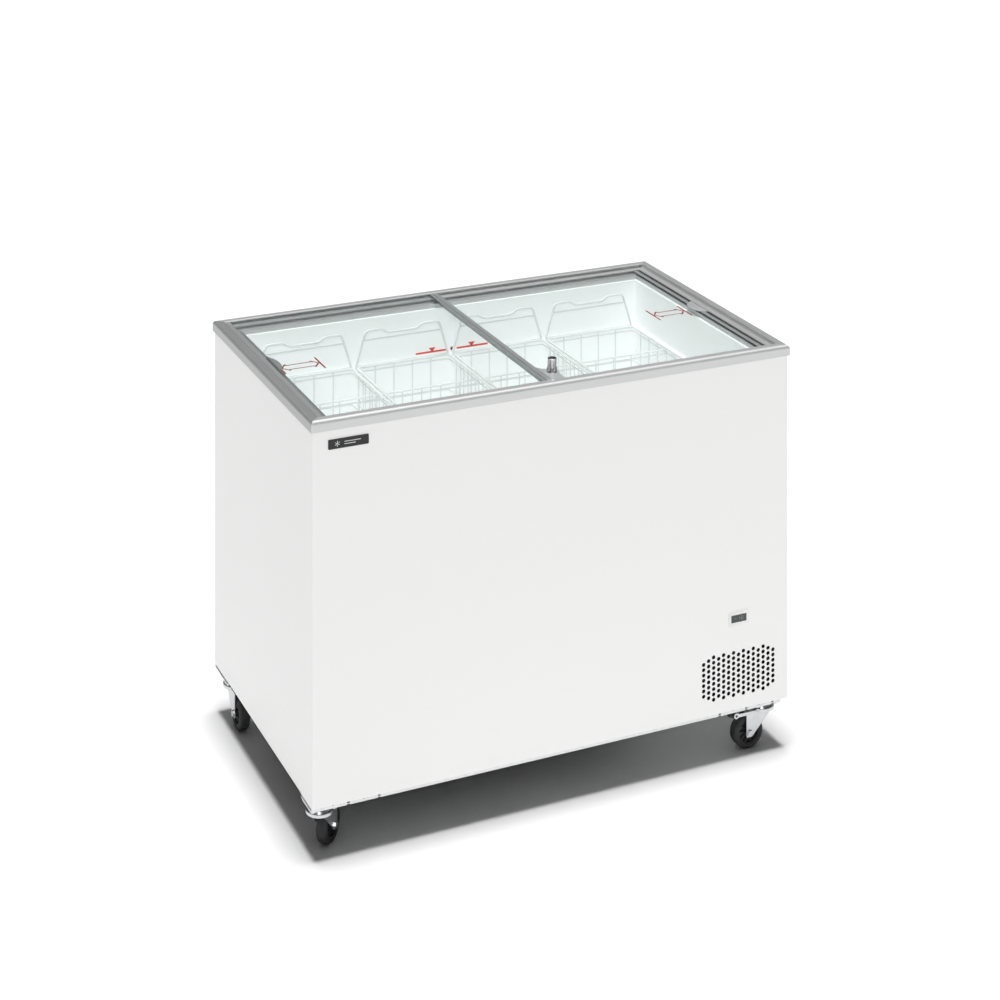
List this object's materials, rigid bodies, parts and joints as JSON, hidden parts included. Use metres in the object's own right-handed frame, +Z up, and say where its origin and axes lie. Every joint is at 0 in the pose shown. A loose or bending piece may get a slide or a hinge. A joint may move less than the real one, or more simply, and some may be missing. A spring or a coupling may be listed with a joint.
{
  "type": "chest freezer",
  "caption": "Free-standing sliding-glass-lid chest freezer on swivel castors, with hanging wire baskets, a lid lock, a vented machine compartment and a front thermometer.",
  "frame": {"origin": "on the floor under the middle of the cabinet's footprint", "axes": "+Z up, +Y towards the back, +X along the front from the badge end to the vent end"},
  "size_m": [1.018, 0.621, 0.836],
  "materials": {
    "white_steel": "semi-gloss white powder coat",
    "galvanised": "spangled zinc",
    "zinc_plate": "bright zinc plate",
    "frame_grey": "satin grey extrusion",
    "profile_grey": "satin grey extrusion",
    "dark_grip": "fine moulded texture",
    "glass": "tempered, clear",
    "liner_white": "smooth white",
    "foam": "rigid foam",
    "wire_white": "white dip-coated wire",
    "black_plastic": "moulded",
    "black_gloss": "gloss",
    "white_plastic": "moulded",
    "display_dark": "tinted window",
    "tyre_dark": "matt rubber",
    "rubber": "matt",
    "black_paint": "gloss black enamel",
    "copper": "drawn copper",
    "fins": "mill finish",
    "chrome": "polished"
  },
  "bodies": {
    "cabinet": {"badge_plate": "black_gloss", "base_plate": "galvanised", "base_rails": "galvanised", "castor_bolts": "zinc_plate", "castor_plates": "zinc_plate", "compressor": "black_paint", "compressor_feet": "rubber", "condenser_coil": "fins", "drain_pipe": "white_plastic", "drain_plug": "white_plastic", "evaporator_coil": "copper", "fan_motor": "black_plastic", "front_panel": "white_steel", "inner_liner": "liner_white", "insulation_foam": "foam", "left_side_panel": "white_steel", "machine_tray": "galvanised", "power_cord": "black_plastic", "rear_grille": "white_steel", "rear_panel": "white_steel", "refrigerant_pipes": "copper", "right_side_panel": "white_steel", "start_relay": "black_plastic", "thermometer_bezel": "white_plastic", "thermometer_display": "display_dark", "thermostat_body": "black_plastic", "top_frame_front": "frame_grey", "top_frame_left": "frame_grey", "top_frame_rear": "frame_grey", "top_frame_right": "frame_grey"},
    "left_lid": {"left_lid_glass": "glass", "left_lid_end_profile": "profile_grey", "left_lid_meeting_profile": "profile_grey", "left_lid_grip": "dark_grip", "lock_housing": "profile_grey"},
    "right_lid": {"right_lid_glass": "glass", "right_lid_end_profile": "profile_grey", "right_lid_meeting_profile": "profile_grey", "right_lid_grip": "profile_grey"},
    "lock_barrel": {"lock_barrel": "chrome"},
    "fan": {"fan_blades": "black_plastic"},
    "thermostat_knob": {"thermostat_knob": "black_plastic"},
    "basket_1": {"basket_1": "wire_white"},
    "basket_2": {"basket_2": "wire_white"},
    "basket_3": {"basket_3": "wire_white"},
    "basket_4": {"basket_4": "wire_white"},
    "fork_front_left": {"castor_fork_front_left": "zinc_plate"},
    "wheel_front_left": {"castor_hub_front_left": "black_plastic", "castor_tyre_front_left": "tyre_dark"},
    "brake_front_left": {"castor_brake_front_left": "black_plastic"},
    "fork_front_right": {"castor_fork_front_right": "zinc_plate"},
    "wheel_front_right": {"castor_hub_front_right": "black_plastic", "castor_tyre_front_right": "tyre_dark"},
    "brake_front_right": {"castor_brake_front_right": "black_plastic"},
    "fork_rear_left": {"castor_fork_rear_left": "zinc_plate"},
    "wheel_rear_left": {"castor_hub_rear_left": "black_plastic", "castor_tyre_rear_left": "tyre_dark"},
    "fork_rear_right": {"castor_fork_rear_right": "zinc_plate"},
    "wheel_rear_right": {"castor_hub_rear_right": "black_plastic", "castor_tyre_rear_right": "tyre_dark"}
  },
  "joints": [
    {"name": "left_lid_slide", "type": "slide", "parent": "cabinet", "child": "left_lid", "axis": [1, 0, 0], "range_m": [0, 0.42]},
    {"name": "right_lid_slide", "type": "slide", "parent": "cabinet", "child": "right_lid", "axis": [-1, 0, 0], "range_m": [0, 0.42]},
    {"name": "lock_turn", "type": "hinge", "parent": "left_lid", "child": "lock_barrel", "pos_m": [0.0085, -0.247, 0.82], "axis": [0, 0, 1], "range_deg": [0, 90]},
    {"name": "fan_spin", "type": "hinge", "parent": "cabinet", "child": "fan", "pos_m": [0.392, -0.236, 0.178], "axis": [0, 1, 0], "continuous": true},
    {"name": "thermostat_turn", "type": "hinge", "parent": "cabinet", "child": "thermostat_knob", "pos_m": [0.455, 0.29, 0.29], "axis": [0, -1, 0], "range_deg": [0, 270]},
    {"name": "basket_1_lift", "type": "slide", "parent": "cabinet", "child": "basket_1", "axis": [0, 0, 1], "range_m": [0, 0.02]},
    {"name": "basket_2_lift", "type": "slide", "parent": "cabinet", "child": "basket_2", "axis": [0, 0, 1], "range_m": [0, 0.02]},
    {"name": "basket_3_lift", "type": "slide", "parent": "cabinet", "child": "basket_3", "axis": [0, 0, 1], "range_m": [0, 0.02]},
    {"name": "basket_4_lift", "type": "slide", "parent": "cabinet", "child": "basket_4", "axis": [0, 0, 1], "range_m": [0, 0.02]},
    {"name": "swivel_front_left", "type": "hinge", "parent": "cabinet", "child": "fork_front_left", "pos_m": [-0.478, -0.27, 0.08], "axis": [0, 0, 1], "continuous": true},
    {"name": "roll_front_left", "type": "hinge", "parent": "fork_front_left", "child": "wheel_front_left", "pos_m": [-0.45325, -0.24525, 0.0335], "axis": [-0.7071, 0.7071, 0], "continuous": true},
    {"name": "brake_press_front_left", "type": "hinge", "parent": "fork_front_left", "child": "brake_front_left", "pos_m": [-0.43133, -0.22333, 0.0735], "axis": [-0.7071, 0.7071, 0], "range_deg": [0, 14]},
    {"name": "swivel_front_right", "type": "hinge", "parent": "cabinet", "child": "fork_front_right", "pos_m": [0.466, -0.27, 0.08], "axis": [0, 0, 1], "continuous": true},
    {"name": "roll_front_right", "type": "hinge", "parent": "fork_front_right", "child": "wheel_front_right", "pos_m": [0.431, -0.27, 0.0335], "axis": [0, -1, 0], "continuous": true},
    {"name": "brake_press_front_right", "type": "hinge", "parent": "fork_front_right", "child": "brake_front_right", "pos_m": [0.4, -0.27, 0.0735], "axis": [0, -1, 0], "range_deg": [0, 14]},
    {"name": "swivel_rear_left", "type": "hinge", "parent": "cabinet", "child": "fork_rear_left", "pos_m": [-0.478, 0.25, 0.08], "axis": [0, 0, 1], "continuous": true},
    {"name": "roll_rear_left", "type": "hinge", "parent": "fork_rear_left", "child": "wheel_rear_left", "pos_m": [-0.478, 0.215, 0.0335], "axis": [1, 0, 0], "continuous": true},
    {"name": "swivel_rear_right", "type": "hinge", "parent": "cabinet", "child": "fork_rear_right", "pos_m": [0.466, 0.25, 0.08], "axis": [0, 0, 1], "continuous": true},
    {"name": "roll_rear_right", "type": "hinge", "parent": "fork_rear_right", "child": "wheel_rear_right", "pos_m": [0.45403, 0.21711, 0.0335], "axis": [0.9397, -0.342, 0], "continuous": true}
  ]
}
